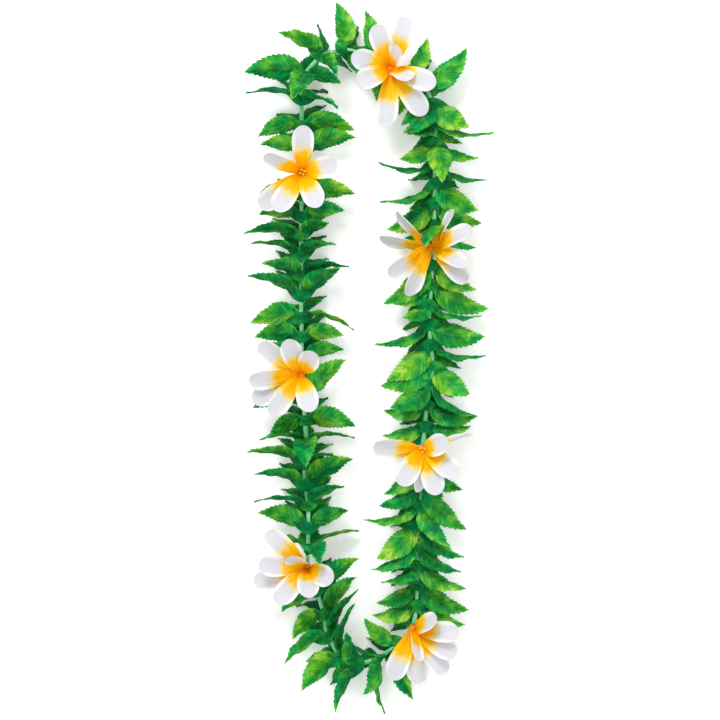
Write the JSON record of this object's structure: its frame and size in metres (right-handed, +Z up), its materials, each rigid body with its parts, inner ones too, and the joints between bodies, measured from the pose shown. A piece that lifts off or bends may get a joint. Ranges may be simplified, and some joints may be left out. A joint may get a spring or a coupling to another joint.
{
  "type": "artificial flower lei",
  "caption": "Closed loop lei of green fabric leaf whorls and white and yellow frangipani flowers, threaded on a string with pale green spacer tubes, laid flat",
  "frame": {"origin": "middle of the lei's bounding box, on the surface that it lies on", "axes": "+X across the loop, +Y along the loop towards its top flower, +Z up out of the surface"},
  "size_m": [0.1946, 0.5566, 0.0649],
  "materials": {
    "leaf_fabric": "matt woven fabric with pressed veins",
    "petal_fabric": "matt white fabric, airbrushed yellow and orange at the throat",
    "tube_plastic": "translucent pale green plastic"
  },
  "bodies": {
    "root": {"flower_foot": "petal_fabric", "flower_lower_left": "petal_fabric", "flower_middle_left": "petal_fabric", "flower_middle_right": "petal_fabric", "flower_top": "petal_fabric", "flower_upper_left": "petal_fabric", "flower_upper_right": "petal_fabric", "leaf_whorl_01": "leaf_fabric", "leaf_whorl_02": "leaf_fabric", "leaf_whorl_03": "leaf_fabric", "leaf_whorl_04": "leaf_fabric", "leaf_whorl_05": "leaf_fabric", "leaf_whorl_06": "leaf_fabric", "leaf_whorl_07": "leaf_fabric", "leaf_whorl_08": "leaf_fabric", "leaf_whorl_09": "leaf_fabric", "leaf_whorl_10": "leaf_fabric", "leaf_whorl_11": "leaf_fabric", "leaf_whorl_12": "leaf_fabric", "leaf_whorl_13": "leaf_fabric", "leaf_whorl_14": "leaf_fabric", "leaf_whorl_15": "leaf_fabric", "leaf_whorl_16": "leaf_fabric", "leaf_whorl_17": "leaf_fabric", "leaf_whorl_18": "leaf_fabric", "leaf_whorl_19": "leaf_fabric", "leaf_whorl_20": "leaf_fabric", "leaf_whorl_21": "leaf_fabric", "leaf_whorl_22": "leaf_fabric", "leaf_whorl_23": "leaf_fabric", "leaf_whorl_24": "leaf_fabric", "leaf_whorl_25": "leaf_fabric", "leaf_whorl_26": "leaf_fabric", "leaf_whorl_27": "leaf_fabric", "leaf_whorl_28": "leaf_fabric", "leaf_whorl_29": "leaf_fabric", "leaf_whorl_30": "leaf_fabric", "leaf_whorl_31": "leaf_fabric", "leaf_whorl_32": "leaf_fabric", "leaf_whorl_33": "leaf_fabric", "leaf_whorl_34": "leaf_fabric", "leaf_whorl_35": "leaf_fabric", "leaf_whorl_36": "leaf_fabric", "leaf_whorl_37": "leaf_fabric", "leaf_whorl_38": "leaf_fabric", "leaf_whorl_39": "leaf_fabric", "leaf_whorl_40": "leaf_fabric", "leaf_whorl_41": "leaf_fabric", "leaf_whorl_42": "leaf_fabric", "leaf_whorl_43": "leaf_fabric", "leaf_whorl_44": "leaf_fabric", "leaf_whorl_45": "leaf_fabric", "leaf_whorl_pair_01": "leaf_fabric", "leaf_whorl_pair_02": "leaf_fabric", "leaf_whorl_pair_03": "leaf_fabric", "leaf_whorl_pair_04": "leaf_fabric", "leaf_whorl_pair_05": "leaf_fabric", "leaf_whorl_pair_06": "leaf_fabric", "string_with_tubes": "tube_plastic"}
  },
  "joints": []
}
